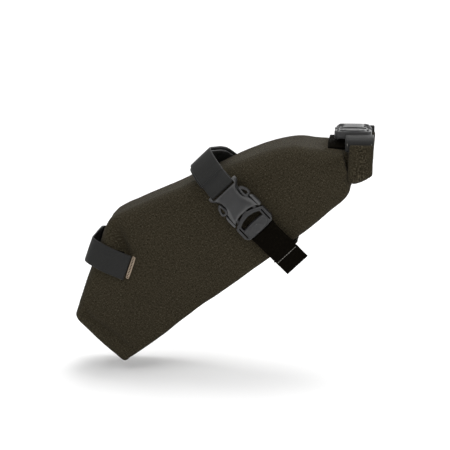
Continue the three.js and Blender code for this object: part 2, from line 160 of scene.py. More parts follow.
def add_floor():
    """A pale sweep: a flat floor that curves up far behind the bag."""
    level = cad_box[0][2] - FLOOR_GAP
    profile = [(FLOOR_FRONT, level), (FLOOR_BACK, level)]
    for step in range(1, SWEEP_STEPS + 1):
        turn = math.pi / 2 * step / SWEEP_STEPS
        profile.append((FLOOR_BACK + SWEEP_RADIUS * math.sin(turn),
                        level + SWEEP_RADIUS * (1 - math.cos(turn))))
    profile.append((FLOOR_BACK + SWEEP_RADIUS, level + SWEEP_TOP))
    verts = [(x, y, z) for x in (-FLOOR_SIDE, FLOOR_SIDE) for y, z in profile]
    count = len(profile)
    faces = [(i, i + 1, count + i + 1, count + i) for i in range(count - 1)]
    mesh = bpy.data.meshes.new("floor")
    mesh.from_pydata(verts, [], faces)
    mesh.polygons.foreach_set("use_smooth", [True] * len(mesh.polygons))
    floor = add_object("floor", mesh)
    material = bpy.data.materials.new("floor")
    material.use_nodes = True
    shader = material.node_tree.nodes["Principled BSDF"]
    shader.inputs["Base Color"].default_value = (0.93, 0.93, 0.93, 1)
    shader.inputs["Roughness"].default_value = 0.9
    mesh.materials.append(material)


add_camera()
add_studio()
add_floor()

# ---------------------------------------------------------------- materials


class Nodes:
    """Adds and links the shader nodes of one material."""

    def __init__(self, name):
        self.material = bpy.data.materials.new(name)
        self.material.use_nodes = True
        self.tree = self.material.node_tree
        self.shader = self.tree.nodes["Principled BSDF"]

    def feed(self, socket, value):
        """Links an output to a socket, or sets the socket's value."""
        if hasattr(value, "is_linked"):
            self.tree.links.new(value, socket)
        else:
            socket.default_value = (*value, 1) if socket.type == "RGBA" else value

    def add(self, kind, inputs, **settings):
        node = self.tree.nodes.new(kind)
        for key, value in settings.items():
            setattr(node, key, value)
        for key, value in inputs.items():
            self.feed(node.inputs[key], value)
        return node

    def coordinates(self, scale=(1, 1, 1), layer="UV"):
        """Texture coordinates times a scale. UVs are in millimetres."""
        source = self.add("ShaderNodeTexCoord", {}).outputs[layer]
        return self.add("ShaderNodeMapping", {"Vector": source, "Scale": scale}).outputs["Vector"]

    def noise(self, vector, scale, detail, rough):
        return self.add("ShaderNodeTexNoise", {"Vector": vector, "Scale": scale, "Detail": detail,
                                               "Roughness": rough}).outputs["Fac"]

    def wave(self, vector, scale, direction, distortion):
        return self.add("ShaderNodeTexWave", {"Vector": vector, "Scale": scale, "Distortion": distortion},
                        wave_type="BANDS", bands_direction=direction).outputs["Fac"]

    def math(self, operation, a, b):
        return self.add("ShaderNodeMath", {0: a, 1: b}, operation=operation).outputs[0]

    def share(self, amount, a, b):
        """An amount of a, and the rest of b."""
        return self.math("ADD", self.math("MULTIPLY", a, amount), self.math("MULTIPLY", b, 1 - amount))

    def ramp(self, factor, stops):
        node = self.add("ShaderNodeValToRGB", {"Fac": factor})
        elements = node.color_ramp.elements
        while len(elements) < len(stops):
            elements.new(0.5)
        for element, (place, colour) in zip(elements, stops):
            element.position = place
            element.color = (*colour, 1)
        return node.outputs["Color"]

    def mix(self, factor, a, b, blend="MIX"):
        node = self.add("ShaderNodeMix", {0: factor, 6: a, 7: b}, data_type="RGBA", blend_type=blend)
        return node.outputs[2]

    def spread(self, factor, low, high):
        """Maps 0..1 to low..high."""
        node = self.add("ShaderNodeMapRange", {"Value": factor, "To Min": low, "To Max": high})
        return node.outputs["Result"]

    def bump(self, height, strength, distance):
        node = self.add("ShaderNodeBump", {"Height": height, "Strength": strength, "Distance": distance})
        self.feed(self.shader.inputs["Normal"], node.outputs["Normal"])

    def colour(self, source):
        self.feed(self.shader.inputs["Base Color"], source)

    def roughness(self, source):
        self.feed(self.shader.inputs["Roughness"], source)

    def fixed(self, **values):
        for key, value in values.items():
            self.shader.inputs[key.replace("_", " ")].default_value = value


def coated_fabric():
    """Dark olive heather: crossed flecks over a fine plain weave, with a faint worn unevenness."""
    n = Nodes("coated_fabric")
    warp = n.noise(n.coordinates((2.7, 0.55, 1)), 1.0, 3, 0.7)
    weft = n.noise(n.coordinates((0.55, 2.7, 1)), 1.0, 3, 0.7)
    flecks = n.share(0.5, warp, weft)
    fine = n.noise(n.coordinates((2.6, 2.6, 1)), 1.0, 2, 0.7)
    blotch = n.noise(n.coordinates((0.02, 0.02, 1)), 1.0, 3, 0.55)
    mixed = n.share(0.78, flecks, fine)
    base = n.ramp(mixed, [(0.40, FABRIC_DARK), (0.5, FABRIC_MID), (0.62, FABRIC_LIGHT)])
    worn = n.spread(blotch, 0.86, 1.14)
    n.colour(n.mix(1.0, base, worn, "MULTIPLY"))
    n.roughness(n.spread(mixed, 0.74, 0.9))
    threads = n.math("MULTIPLY", *(n.wave(n.coordinates(), 0.62, way, 0.6) for way in "XY"))
    n.bump(n.math("ADD", threads, n.math("MULTIPLY", mixed, 1.2)), 0.5, 0.0004)
    n.fixed(Sheen_Weight=0.02, Sheen_Roughness=0.4, Specular_IOR_Level=0.04)
    return n.material


def webbing(name, dark, light, rough, rib_strength, shine):
    """Woven tape. U runs along it and V across, in millimetres from its middle."""
    n = Nodes(name)
    flat = n.coordinates()
    ribs = n.wave(flat, 0.36, "X", 0.15)
    cords = n.wave(flat, 0.22, "Y", 0.3)
    dust = n.noise(n.coordinates((0.5, 0.5, 1)), 1.0, 3, 0.6)
    weave = n.share(0.6, ribs, cords)
    tone = n.share(0.45, weave, dust)
    n.colour(n.ramp(tone, [(0.25, dark), (0.8, light)]))
    n.roughness(n.spread(tone, rough, rough - 0.12))
    n.bump(weave, rib_strength, 0.0004)
    n.fixed(Specular_IOR_Level=shine)
    return n.material


def moulded_plastic():
    """Dark grey acetal: fine spark grain and faint scuffs, with a painted highlight that pales the sharp
    edges.
    """
    n = Nodes("moulded_plastic")
    here = n.coordinates(layer="Object")
    grain = n.noise(here, 2600, 2, 0.6)
    scuff = n.noise(here, 160, 4, 0.65)
    tone = n.ramp(scuff, [(0.3, PLASTIC_DARK), (0.72, PLASTIC_LIGHT)])
    # painted highlight: sharp edges, found by pointiness, are mixed toward a pale grey
    pointiness = n.add("ShaderNodeNewGeometry", {}).outputs["Pointiness"]
    edges = n.ramp(pointiness, [(0.54, (0, 0, 0)), (0.68, (1, 1, 1))])
    n.colour(n.mix(edges, tone, PLASTIC_EDGE_HIGHLIGHT))
    n.roughness(n.spread(scuff, 0.32, 0.46))
    n.bump(n.math("ADD", n.math("MULTIPLY", grain, 0.4), scuff), 0.15, 0.0002)
    n.fixed(Specular_IOR_Level=0.45)
    return n.material


def sheet_plastic(name, colour):
    n = Nodes(name)
    here = n.coordinates(layer="Object")
    grain = n.noise(here, 900, 3, 0.6)
    cloud = n.noise(here, 40, 3, 0.6)
    pale = tuple(1.35 * c for c in colour)
    n.colour(n.ramp(cloud, [(0.3, colour), (0.75, pale)]))
    n.roughness(n.spread(grain, 0.55, 0.75))
    n.bump(grain, 0.3, 0.0003)
    return n.material


def thread():
    n = Nodes("thread")
    flat = n.coordinates()
    twist = n.wave(flat, 0.5, "DIAGONAL", 0.4)
    fuzz = n.noise(flat, 2.0, 2, 0.6)
    n.colour(n.ramp(n.share(0.5, twist, fuzz), [(0.2, THREAD_DARK), (0.8, THREAD_LIGHT)]))
    n.roughness(n.spread(fuzz, 0.7, 0.9))
    n.bump(twist, 0.5, 0.0003)
    return n.material


FABRIC_DARK = (0.0035, 0.0026, 0.0010)
FABRIC_MID = (0.0225, 0.0185, 0.0108)
FABRIC_LIGHT = (0.094, 0.080, 0.053)
GREY_DARK, GREY_LIGHT = (0.0085, 0.0085, 0.0080), (0.0185, 0.0185, 0.0178)
BLACK_DARK, BLACK_LIGHT = (0.0006, 0.0004, 0.0002), (0.0052, 0.0042, 0.0026)
PLASTIC_DARK, PLASTIC_LIGHT = (0.010, 0.010, 0.0105), (0.017, 0.017, 0.0175)
# the pale grey of the painted edge highlight on the plastic
PLASTIC_EDGE_HIGHLIGHT = (0.045, 0.045, 0.045)
THREAD_DARK, THREAD_LIGHT = (0.30, 0.22, 0.15), (0.62, 0.50, 0.38)

FABRIC = coated_fabric()
GREY = webbing("grey_webbing", GREY_DARK, GREY_LIGHT, 0.62, 0.12, 0.16)
BLACK = webbing("black_webbing", BLACK_DARK, BLACK_LIGHT, 0.9, 0.5, 0.02)
PLASTIC = moulded_plastic()
STIFF = sheet_plastic("stiffener_sheet", (0.012, 0.012, 0.012))
RUBBER = sheet_plastic("grip_rubber", (0.014, 0.014, 0.014))
THREAD = thread()
THREAD_GREY = sheet_plastic("grey_thread", (0.13, 0.125, 0.11))

# ---------------------------------------------------------------- mesh helpers


def new_object(name, verts, faces, material, matrix=ROW, uvs=None, smooth=True):
    """A mesh object from points in a local frame in millimetres. uvs holds one pair for each face corner."""
    mesh = bpy.data.meshes.new(name)
    mesh.from_pydata([(matrix @ Vector(v)) * MM for v in verts], [], faces)
    if uvs is not None:
        layer = mesh.uv_layers.new(name="weave")
        flat = [c for pair in uvs for c in pair]
        layer.data.foreach_set("uv", flat)
    mesh.polygons.foreach_set("use_smooth", [smooth] * len(mesh.polygons))
    mesh.materials.append(material)
    mesh.validate()
    return add_object(name, mesh)


def closed_object(name, verts, faces, material, matrix, uvs=None):
    """A new object whose faces are all turned to point out."""
    obj = new_object(name, verts, faces, material, matrix, uvs)
    bm = bmesh.new()
    bm.from_mesh(obj.data)
    bmesh.ops.recalc_face_normals(bm, faces=bm.faces)
    bm.to_mesh(obj.data)
    bm.free()
    return obj


def tube_faces(rings, count):
    """Quads between rings of count points, then the two end faces."""
    faces = []
    for base in range(0, (rings - 1) * count, count):
        for k in range(count):
            j = (k + 1) % count
            faces.append((base + k, base + j, base + count + j, base + count + k))
    return faces + [tuple(range(count - 1, -1, -1)), tuple(range((rings - 1) * count, rings * count))]


def tube_uvs(rings, count, wall, end):
    """A UV pair for each corner of tube_faces: wall(ring, step), and end(index) on the end faces."""
    uvs = []
    for i in range(rings - 1):
        for k in range(count):
            uvs += [wall(i, k), wall(i, k + 1), wall(i + 1, k + 1), wall(i + 1, k)]
    for face in tube_faces(rings, count)[-2:]:
        uvs += [end(k) for k in face]
    return uvs


def grid_rim(rows, columns):
    """The indices round a grid of rows by columns squares."""
    row = columns + 1
    return [*range(row), *(i * row + columns for i in range(1, rows + 1)),
            *(rows * row + k for k in range(columns - 1, -1, -1)), *(i * row for i in range(rows - 1, 0, -1))]


def slab_faces(rows, columns):
    """Faces of a closed slab: two grids of points, one over the other, joined round their rims."""
    row = columns + 1
    size = row * (rows + 1)
    faces = []
    for i in range(rows):
        for k in range(columns):
            quad = (i * row + k, (i + 1) * row + k, (i + 1) * row + k + 1, i * row + k + 1)
            faces += [quad, tuple(size + n for n in reversed(quad))]
    rim = grid_rim(rows, columns)
    return faces + [(a, b, size + b, size + a) for a, b in zip(rim, rim[1:] + rim[:1])]


def fabric_tree(obj, matrix):
    """A search tree of a mesh in a local frame."""
    inverse = matrix.inverted()
    return BVHTree.FromPolygons([inverse @ (v.co / MM) for v in obj.data.vertices],
                                [tuple(f.vertices) for f in obj.data.polygons])


def place(obj, body, slot, *nodes):
    """Rides a body and stands for its CAD nodes. The slot argument is not used."""
    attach(obj, body)
    if nodes:
        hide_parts(*nodes)


def catmull(points, t):
    """A point on a smooth curve through a list of number lists, with t from 0 to 1."""
    last = len(points) - 1
    x = min(max(t, 0.0), 1.0) * last
    i = min(int(x), last - 1)
    f = x - i
    p = [points[min(max(k, 0), last)] for k in (i - 1, i, i + 1, i + 2)]
    return [0.5 * (2 * b + (c - a) * f + (2 * a - 5 * b + 4 * c - d) * f * f
                   + (3 * b - a - 3 * c + d) * f ** 3) for a, b, c, d in zip(*p)]


def bell(x, middle, width):
    return math.exp(-((x - middle) / width) ** 2)


def smoothstep(x, low, high):
    t = min(max((x - low) / (high - low), 0.0), 1.0)
    return t * t * (3 - 2 * t)

# ---------------------------------------------------------------- the pouch

# Sections from nose to mouth: base (u, v), top (u, v), half-width, crown radius, hem radius.
SECTIONS = [
    (4.0, -1.4, -8.0, 62.9, 28.5, 8, 4),
    (22, -1.8, 12.6, 76.2, 30, 9, 4),
    (46, -2.0, 38.6, 92.6, 33, 10, 4.5),
    (70, -1.8, 66.6, 109.4, 35.5, 10, 5),
    (80, -2.0, 77.4, 112.6, 36.8, 11, 5),
    (100, -2.0, 97, 108.2, 38.5, 16, 5),
    (124, -2.1, 122, 102.3, 41, 18, 5),
    (148, -2.2, 148, 95.8, 43, 19, 5.5),
    (174, -2.2, 176, 88.8, 45, 20, 6),
    (200, -2.2, 204, 81.6, 47, 21, 7),
    (222, -2.2, 230, 73.6, 48, 21, 8),
    (240, -2.1, 250, 63.6, 48, 18, 9),
    (253.6, -1.4, 262.4, 51.8, 47, 16, 10),
    (263.4, 0.8, 273.4, 41.2, 45.4, 13, 10),
    (268.4, 5.2, 281, 33.8, 43.6, 10, 9),
]
SIDE_BULGE = 3.2
RING_CORNERS = 12
RING_SIDES = 26
RING_FLATS = 14
LENGTH_STEPS = 150


def ring_parameters():
    """Where a section's points sit: base, then each side and corner in turn, as in the CAD panels."""
    counts = [RING_FLATS, RING_CORNERS, RING_SIDES, RING_CORNERS] * 2
    return [part + step / count for part, count in enumerate(counts) for step in range(count)]


def ring_point(section, s):
    """A point of a section as (u, y, v). The far half mirrors the near one."""
    bu, bv, tu, tv, half, crown, hem = section
    part, t = int(s), s - int(s)
    far = part > 4
    if far:
        part, t = 8 - part, 1 - t
    height = math.hypot(tu - bu, tv - bv)
    turn = t * math.pi / 2
    if part == 0:
        y, rise = (half - hem) * (1 - 2 * t), 0
    elif part == 1:
        y, rise = -(half - hem) - hem * math.sin(turn), hem * (1 - math.cos(turn))
    elif part == 2:
        y, rise = -half - SIDE_BULGE * math.sin(math.pi * t) ** 1.5, hem + (height - hem - crown) * t
    elif part == 3:
        y, rise = -(half - crown) - crown * math.cos(turn), height - crown * (1 - math.sin(turn))
    else:
        y, rise = -(half - crown) * (1 - 2 * t), height
    share = rise / height
    return Vector((bu + (tu - bu) * share, -y if far else y, bv + (tv - bv) * share))


# Rises and dents on both sides: height, middle u, its width, middle v, its width, slant of u with v.
SIDE_BUMPS = [
    (-6.0, 72, 5.5, 89, 16, 0.35),  # the band pulls the corner of the nose in
    (1.8, 60, 5.5, 94, 13, 0.35),   # and the fabric bulges under it
    (1.2, 40, 16, 52, 14, 0),
]
BUMP_LEVEL = 92                     # the v at which a slanted bump's middle is its own u
CREASE_DEPTH, RIDGE_HEIGHT = 2.6, 1.5
WAIST_DEPTH = 0.9
GATHER_DEPTH = 1.9


def pouch_relief(u, y, v):
    """How far the fabric stands out (mm): seam creases, dents at the straps, sag and soft wrinkles."""
    near = y < 0
    side = smoothstep(abs(y), 18, 30)
    out = 0.0
    # the nose stiffener's edge: a crease along the nose with a low ridge behind it
    edge = 11.5 - 0.17 * v + 3 * noise.noise(Vector((v * 0.03, 7, 1 if near else 5)))
    along = smoothstep(v, 2, 12) * (1 - smoothstep(v, 55, 64))
    out += side * along * (RIDGE_HEIGHT * bell(u, edge + 7, 5) - CREASE_DEPTH * bell(u, edge, 2.4))
    for height, at_u, wide_u, at_v, wide_v, slant in SIDE_BUMPS:
        out += side * height * bell(u - slant * (v - BUMP_LEVEL), at_u, wide_u) * bell(v, at_v, wide_v)
    # the main strap presses a shallow waist
    out -= side * WAIST_DEPTH * bell(u, 180 + 0.096 * (90 - v), 16) * smoothstep(v, -5, 25)
    # gathers that run in to the mouth
    ray = math.atan2(v - 24, max(300 - u, 4)) * 9
    gather = smoothstep(u, 222, 266)
    out += gather * GATHER_DEPTH * noise.noise(Vector((ray * 0.8, u * 0.006, 3 if near else 9)))
    # slow sag and small wrinkles everywhere
    shift = 0 if near else 40
    out += 1.4 * noise.noise(Vector((u * 0.018 + shift, y * 0.012, v * 0.022)))
    out += 0.35 * noise.noise(Vector((u * 0.05 + shift, y * 0.03, v * 0.06)))
    out += 0.12 * noise.noise(Vector((u * 0.16, y * 0.1 + shift, v * 0.16)))
    return out


NOSE_STEPS, NOSE_INSET, NOSE_REACH, NOSE_LIFT = 10, 6.6, 5.4, 0.42
NOSE_PANEL = (0.25, 0.5, 0.75, 0.93)  # rings of the end panel, as shares of the way to its middle
NOSE_DOME, REAR_REACH = 1.2, 1.2
REAR_STEPS, REAR_ROUND = 12, 6.5
MOUTH_RINGS = (0.2, 0.4, 0.55)
PLEAT_DEPTH, MOUTH_DEPTH = 1.1, 3.0
WALL = 1.2


def inset_ring(points, centre, amount, shift, lift=0.0):
    """A ring drawn in towards its centre by amount (more at the top if lift is set) and moved by shift."""
    height = max(abs(p.z - centre.z) for p in points)
    ring = []
    for p in points:
        reach = p - centre
        length = reach.length
        share = amount * (1 + lift * (p.z - centre.z) / height)
        ring.append(p - reach * (min(share, length) / length) + shift)
    return ring


def nose_rings(first):
    """The nose closes with a rounded edge and a nearly flat end panel. Runs from the pouch outward."""
    centre = sum(first, Vector()) / len(first)
    bu, bv, tu, tv = SECTIONS[0][:4]
    forward = Vector((bv - tv, 0, tu - bu)).normalized()
    rings = []
    for step in range(1, NOSE_STEPS + 1):
        turn = math.pi / 2 * step / NOSE_STEPS
        rings.append(inset_ring(first, centre, NOSE_INSET * (1 - math.cos(turn)),
                                forward * NOSE_REACH * math.sin(turn), NOSE_LIFT))
    rim = rings[-1]
    middle = sum(rim, Vector()) / len(rim)
    for share in NOSE_PANEL:
        rings.append([p.lerp(middle, share) + forward * NOSE_DOME * share for p in rim])
    return rings


def rear_rings(last):
    """The rear turns in over a rounded shoulder to a gathered face with a flattened mouth."""
    centre = sum(last, Vector()) / len(last)
    rearward = POUCH.inverted().to_3x3() @ Vector((1, 0, 0))
    rings = []
    for step in range(1, REAR_STEPS + 1):
        turn = math.pi / 2 * step / REAR_STEPS
        rings.append(inset_ring(last, centre, REAR_ROUND * (1 - math.cos(turn)),
                                rearward * REAR_REACH * math.sin(turn)))
    rim = rings[-1]
    for share in MOUTH_RINGS:
        ring = []
        for k, p in enumerate(rim):
            mouth = Vector((centre.x, 0, centre.z)) + (p - centre) * 0.12
            mouth.y = p.y * 0.82
            pleat = PLEAT_DEPTH * share * math.sin(k * 1.9) - MOUTH_DEPTH * share
            ring.append(p.lerp(mouth, share / MOUTH_RINGS[-1]) + rearward * pleat)
        rings.append(ring)
    return rings


def make_pouch():
    parameters = ring_parameters()
    body = []
    for step in range(LENGTH_STEPS + 1):
        section = catmull(SECTIONS, step / LENGTH_STEPS)
        body.append([ring_point(section, s) for s in parameters])
    caps = nose_rings(body[0])
    rows = caps[::-1] + body + rear_rings(body[-1])
    count = len(parameters)
    # UVs: along the pouch and round it, turned so the threads stand upright on the hung bag
    first_row, last_row = len(caps), len(caps) + LENGTH_STEPS
    girths = [running_lengths(row + row[:1]) for row in rows]
    beyond = [0.0] * len(rows)
    for i in range(first_row - 1, -1, -1):
        beyond[i] = beyond[i + 1] - max((q - p).length for p, q in zip(rows[i][::9], rows[i + 1][::9]))
    for i in range(last_row + 1, len(rows)):
        beyond[i] = beyond[i - 1] + max((q - p).length for p, q in zip(rows[i][::9], rows[i - 1][::9]))
    cos, sin = math.cos(TILT), math.sin(TILT)

    def weave(i, k):
        held = min(max(i, first_row), last_row)
        along, around = rows[held][k % count].x + beyond[i], girths[held][k]
        return (along * cos - around * sin, along * sin + around * cos)

    verts = []
    for i, row in enumerate(rows):
        for k, p in enumerate(row):
            before, after = row[k - 1], row[(k + 1) % count]
            ahead = rows[min(i + 1, len(rows) - 1)][k] - rows[max(i - 1, 0)][k]
            normal = ahead.cross(after - before)
            normal = normal.normalized() if normal.length > 1e-9 else Vector()
            if normal.dot(Vector((0, p.y, p.z - 45))) < 0:
                normal = -normal
            fade = smoothstep(i, first_row - 3, first_row + 3)
            fade *= 1 - 0.75 * smoothstep(i, last_row, last_row + 6)
            verts.append(p + normal * pouch_relief(p.x, p.y, p.z) * fade)
    # the rear stays open, and a fan closes the nose
    faces = tube_faces(len(rows), count)[:-2]
    uvs = tube_uvs(len(rows), count, weave, lambda k: (0, 0))[:4 * len(faces)]
    tip = len(verts)
    verts.append(sum(rows[0], Vector()) / count)
    for k in range(count):
        j = (k + 1) % count
        faces.append((tip, k, j))
        uvs.extend([weave(0, k), weave(0, k), weave(0, k + 1)])
    pouch = closed_object("fabric_pouch", verts, faces, FABRIC, POUCH, uvs)
    shell = pouch.modifiers.new("wall", "SOLIDIFY")
    shell.thickness = WALL * MM
    shell.offset = -1
    place(pouch, "bag", "coated_fabric",
          "near_side_panel", "far_side_panel", "top_panel", "base_panel", "nose_panel")
    return pouch


# ---------------------------------------------------------------- webbing and stitching


def bend(before, corner, after, reach, limit, steps):
    """Points on a quadratic curve that rounds one corner and takes at most 1 / limit of each side."""
    before, corner, after = Vector(before), Vector(corner), Vector(after)
    a = corner + (before - corner).normalized() * min(reach, (before - corner).length / limit)
    b = corner + (after - corner).normalized() * min(reach, (after - corner).length / limit)
    shares = [step / steps for step in range(steps + 1)]
    return [a * (1 - t) ** 2 + corner * 2 * t * (1 - t) + b * t * t for t in shares]


def soften(corners, reach, steps=8):
    """An open path with its inner corners rounded."""
    points = [Vector(corners[0])]
    for before, corner, after in zip(corners, corners[1:], corners[2:]):
        points += bend(before, corner, after, reach, 2.05, steps)
    return points + [Vector(corners[-1])]


def round_corners(outline, reach, steps=4):
    """A closed outline with every corner rounded."""
    points = []
    for before, corner, after in zip(outline[-1:] + outline[:-1], outline, outline[1:] + outline[:1]):
        points += bend(before, corner, after, reach, 2.1, steps)
    return points


def running_lengths(points):
    """The distance along a polyline to each of its points."""
    return [0.0, *accumulate((b - a).length for a, b in zip(points, points[1:]))]


def resample(points, spacing):
    """Points at even distances along a polyline."""
    lengths = running_lengths(points)
    count = max(2, round(lengths[-1] / spacing))
    result, k = [], 0
    for step in range(count + 1):
        d = lengths[-1] * step / count
        while k < len(points) - 2 and lengths[k + 1] < d:
            k += 1
        span = lengths[k + 1] - lengths[k]
        result.append(points[k].lerp(points[k + 1], (d - lengths[k]) / span if span else 0))
    return result


def tape_section(width, thickness):
    """A woven tape's section as (across, out): flat faces, rounded selvedges, a trace of crown."""
    half, r = width / 2, thickness / 2
    section = []
    for side in (1, -1):
        for step in range(9):
            across = side * (half - r) * (1 - step / 4)
            crown = 0.10 * (1 - (across / half) ** 2)
            section.append((across, side * (r + crown)))
        for step in range(1, 4):
            turn = math.pi * step / 4
            section.append((-side * (half - r + r * math.sin(turn)), side * r * math.cos(turn)))
    return section


RIPPLE = 0.12


def tape(name, path, width, thickness, material, matrix, shift=0.0, spacing=1.6, drift=0.0):
    """A strap along a path of (y, z) in a local frame, its width along x. It drifts in x along its length."""
    route = resample([Vector(p) for p in path], spacing)
    lengths = running_lengths(route)
    section = tape_section(width, thickness)
    count = len(section)
    verts = []
    for i, p in enumerate(route):
        ahead = (route[min(i + 1, len(route) - 1)] - route[max(i - 1, 0)]).normalized()
        out = Vector((-ahead.y, ahead.x))
        wobble = noise.noise(Vector((lengths[i] * 0.05, shift, width)))
        for across, height in section:
            cup = 0.8 * noise.noise(Vector((lengths[i] * 0.06, across * 0.07, 4)))
            spot = p + out * (height + RIPPLE * (wobble + cup))
            verts.append((shift + drift * i / len(route) + across, spot.x, spot.y))
    faces = tube_faces(len(route), count)
    uvs = tube_uvs(len(route), count, lambda i, k: (lengths[i], section[k % count][0]),
                   lambda k: (verts[k][0] - shift, 0.4 * (k % 3)))
    return closed_object(name, verts, faces, material, matrix, uvs)


def point_along(route, share):
    """The point at a share of the length of an evenly spaced polyline."""
    x = share * (len(route) - 1)
    k = min(int(x), len(route) - 2)
    return route[k].lerp(route[k + 1], x - k)


BEAD_RINGS, BEAD_SIDES = 7, 6


def stitches(name, lines, matrix, material, length=2.2, gap=1.1, radius=0.24, out=Vector((0, -1, 0))):
    """Rows of thread: each line is a list of points, and each stitch a small round-ended bead along it."""
    verts, faces = [], []
    for line in lines:
        route = resample([Vector(p) for p in line], 0.4)
        total = running_lengths(route)[-1]
        number = max(1, int(total / (length + gap)))
        pitch = total / number
        for n in range(number):
            start = n * pitch + gap / 2
            a = point_along(route, start / total)
            b = point_along(route, (start + length * pitch / (length + gap)) / total)
            across = (b - a).normalized().cross(out).normalized()
            base = len(verts)
            for i in range(BEAD_RINGS):
                t = i / (BEAD_RINGS - 1)
                swell = math.sin(math.pi * (0.08 + 0.84 * t)) ** 0.5
                centre = a.lerp(b, t) + out * radius * (swell - 0.75)
                for k in range(BEAD_SIDES):
                    turn = math.tau * k / BEAD_SIDES
                    verts.append(centre + (across * math.cos(turn) + out * math.sin(turn)) * radius * swell)
            faces += [tuple(base + k for k in face) for face in tube_faces(BEAD_RINGS, BEAD_SIDES)]
    uvs = [(verts[k][0] + verts[k][2], verts[k][1]) for face in faces for k in face]
    return closed_object(name, verts, faces, material, matrix, uvs)


def box_stitch(x0, x1, z0, z1, y):
    """The usual sewn box with its cross, as stitch lines on a face at y."""
    a, b, c, d = (x0, y, z0), (x1, y, z0), (x1, y, z1), (x0, y, z1)
    return [[a, b], [b, c], [c, d], [d, a], [a, c], [d, b]]


def make_main_strap():
    side = BUCKLE_SIDE
    bar = -BUCKLE_DROP - 1.1
    loop = soften([(-side - 2.2, bar + 14), (-side - 2.2, bar - 1.2), (-side - 7.3, bar - 1.2),
                   (-side - 7.3, bar + 4), (-50.6, -17.5), (-40.5, -6.3), (-27.5, 1.4), (17, -6.6),
                   (37.4, -12.4), (49.6, -24), (51.6, -58)], 6)
    strap = tape("rail_strap_webbing", loop, WEBBING, WEBBING_THICK, GREY, STRAP)
    place(strap, "bag", "grey_webbing", "rail_strap")
    inner = soften([(-46.2, -19.5), (-39.2, -8.6), (-26.8, -0.6), (16.6, -8.5), (36.0, -14.2),
                    (44.6, -23)], 6)
    liner = tape("rail_strap_inner_layer", inner, WEBBING, WEBBING_THICK, GREY, STRAP, shift=-2.6)
    place(liner, "bag", "grey_webbing", "rail_strap_liner")
    # the loaded strap below the plug, and the free tail over it
    lower = soften([(-side - 1.4, PLUG_END + 2.5), (-side - 1.0, -98), (-47.6, -110.2), (-28, -110.6)], 6)
    loaded = tape("lower_strap_webbing", lower, WEBBING, WEBBING_THICK, BLACK, STRAP)
    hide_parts("lower_strap")
    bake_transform(loaded)
    hang = soften([(-side - 5.6, PLUG_END + 0.1), (-56.2, -98), (-57.0, TAIL_END)], 6)
    tail = tape("strap_tail_webbing", hang, WEBBING, WEBBING_THICK, BLACK, STRAP, shift=0.4, drift=1.8)
    place(tail, "tail", "black_webbing", "strap_tail")
    fold = [(-55.0, TAIL_END + 14), (-55.1, TAIL_END + 0.6)]
    hem = tape("strap_tail_fold", fold, WEBBING - 0.6, 1.5, BLACK, STRAP, shift=1.8)
    place(hem, "tail", "black_webbing", "strap_tail_hem")
    line = [(x, -57.9, TAIL_END + 13.4) for x in (-9.6, 12.8)]
    seam = stitches("strap_tail_stitching", [line], STRAP, THREAD_GREY, length=1.9, gap=0.35, radius=0.3)
    place(seam, "tail", "thread")


def make_nose_band():
    """One length of webbing round the nose. It bends where the band's free part peels from the far corner."""
    path = soften([(-41.6, -31.4), (-39.6, -10), (-28.6, 9.4), (29, 9.6), (38.6, -9), (40.2, -27.6)], 8)
    band = tape("nose_band_webbing", path, NOSE_BAND, WEBBING_THICK, GREY, FRONT, shift=6, spacing=1.2)
    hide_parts("nose_band", "nose_band_far_end")
    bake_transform(band)


def surface_finder(obj):
    """Finds the fabric's outer face at (u, v) on one side of the pouch, and the way it faces there."""
    tree = fabric_tree(obj, POUCH)

    def find(u, v, side):
        place_at, normal, _, _ = tree.ray_cast(Vector((u, side * 90, v)), Vector((0, -side, 0)))
        return place_at, normal if normal.y * side > 0 else -normal
    return find


PATCH_STEPS = 12
PATCH_STAND, PATCH_SINK = 0.15, 0.3


def side_patch(name, corners, side, find, thickness, material):
    """A thin patch laid on the pouch's side between four (u, v) corners."""
    a, b, c, d = (Vector(corner) for corner in corners)
    verts = []
    for height in (PATCH_STAND + thickness, PATCH_STAND - PATCH_SINK):
        for i in range(PATCH_STEPS + 1):
            for k in range(PATCH_STEPS + 1):
                flat = a.lerp(b, i / PATCH_STEPS).lerp(d.lerp(c, i / PATCH_STEPS), k / PATCH_STEPS)
                spot, normal = find(flat.x, flat.y, side)
                worn = height > PATCH_STAND and min(i, k, PATCH_STEPS - i, PATCH_STEPS - k) == 0
                verts.append(spot + normal * (height - (0.3 * thickness if worn else 0)))
    faces = slab_faces(PATCH_STEPS, PATCH_STEPS)
    uvs = [(verts[k].x, verts[k].z) for face in faces for k in face]
    return closed_object(name, verts, faces, material, POUCH, uvs)


HOOK_PATCH = [(46.5, 68), (66.5, 80.2), (61, 89.4), (41, 77.2)]
LADDER_START, LADDER_END, LADDER_RUNGS = Vector((54.8, 60.6)), Vector((72.2, 71.7)), 15
LADDER_HALF = Vector((-0.54, 0.84)) * 1.25
ANCHOR_WIDTH, ANCHOR_THICK = 29, 1.2
ANCHOR_STITCH = (2.0, 0.9, 0.26)


